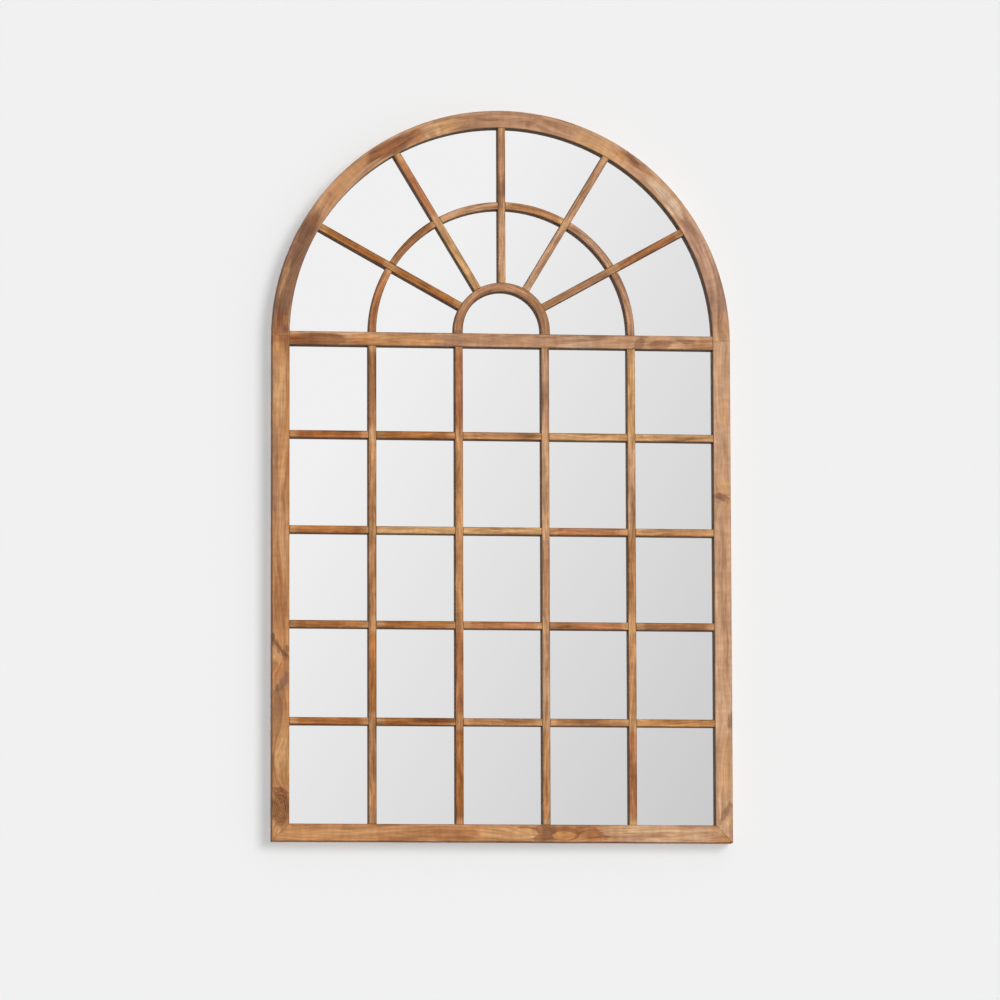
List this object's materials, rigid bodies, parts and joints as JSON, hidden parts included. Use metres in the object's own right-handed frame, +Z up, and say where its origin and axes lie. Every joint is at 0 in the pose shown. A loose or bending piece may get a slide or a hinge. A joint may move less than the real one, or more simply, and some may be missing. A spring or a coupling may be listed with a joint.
{
  "type": "arched window-pane wall mirror",
  "caption": "Arched wall mirror in solid wood: a window-pane lattice of glazing bars with a fanlight over one mirror sheet, hung on two D-rings.",
  "frame": {"origin": "on the wall plane, midway between the two wall hooks that carry the D-rings", "axes": "+Z up, +Y into the wall (the mirror faces -Y), +X to the right as seen from the front"},
  "size_m": [0.997, 0.0377, 1.5875],
  "materials": {
    "frame_wood": "oiled hardwood, satin, mixed golden and brown boards",
    "bar_wood": "oiled hardwood, satin, reddish brown",
    "mirror": "silvered glass, clear",
    "back_board": "plain brown fibreboard",
    "hanger_steel": "zinc-plated steel",
    "bumper_rubber": "matt black rubber"
  },
  "bodies": {
    "mirror": {"stile_left": "frame_wood", "stile_right": "frame_wood", "bottom_rail": "frame_wood", "mitre_spline_left": "frame_wood", "mitre_spline_right": "frame_wood", "arch_segment_1": "frame_wood", "arch_segment_2": "frame_wood", "arch_segment_3": "frame_wood", "arch_segment_4": "frame_wood", "arch_segment_5": "frame_wood", "transom": "bar_wood", "upright_bar_1": "bar_wood", "upright_bar_2": "bar_wood", "upright_bar_3": "bar_wood", "upright_bar_4": "bar_wood", "cross_bar_1_1": "bar_wood", "cross_bar_1_2": "bar_wood", "cross_bar_1_3": "bar_wood", "cross_bar_1_4": "bar_wood", "cross_bar_1_5": "bar_wood", "cross_bar_2_1": "bar_wood", "cross_bar_2_2": "bar_wood", "cross_bar_2_3": "bar_wood", "cross_bar_2_4": "bar_wood", "cross_bar_2_5": "bar_wood", "cross_bar_3_1": "bar_wood", "cross_bar_3_2": "bar_wood", "cross_bar_3_3": "bar_wood", "cross_bar_3_4": "bar_wood", "cross_bar_3_5": "bar_wood", "cross_bar_4_1": "bar_wood", "cross_bar_4_2": "bar_wood", "cross_bar_4_3": "bar_wood", "cross_bar_4_4": "bar_wood", "cross_bar_4_5": "bar_wood", "hub_arc": "bar_wood", "spoke_1": "bar_wood", "spoke_2": "bar_wood", "spoke_3": "bar_wood", "spoke_4": "bar_wood", "spoke_5": "bar_wood", "middle_arc_1": "bar_wood", "middle_arc_2": "bar_wood", "middle_arc_3": "bar_wood", "middle_arc_4": "bar_wood", "middle_arc_5": "bar_wood", "middle_arc_6": "bar_wood", "mirror_glass": "mirror", "back_board": "back_board", "hanger_strap_left": "hanger_steel", "hanger_screw_left_upper": "hanger_steel", "hanger_screw_left_lower": "hanger_steel", "hanger_strap_right": "hanger_steel", "hanger_screw_right_upper": "hanger_steel", "hanger_screw_right_lower": "hanger_steel", "wall_bumper_left": "bumper_rubber", "wall_bumper_right": "bumper_rubber"},
    "left_ring": {"hanger_ring_left": "hanger_steel"},
    "right_ring": {"hanger_ring_right": "hanger_steel"}
  },
  "joints": [
    {"name": "left_ring_swing", "type": "hinge", "parent": "mirror", "child": "left_ring", "pos_m": [-0.48597, -0.003, -0.01846], "axis": [-1, 0, 0], "range_deg": [0, 165]},
    {"name": "right_ring_swing", "type": "hinge", "parent": "mirror", "child": "right_ring", "pos_m": [0.48597, -0.003, -0.01846], "axis": [-1, 0, 0], "range_deg": [0, 165]}
  ]
}
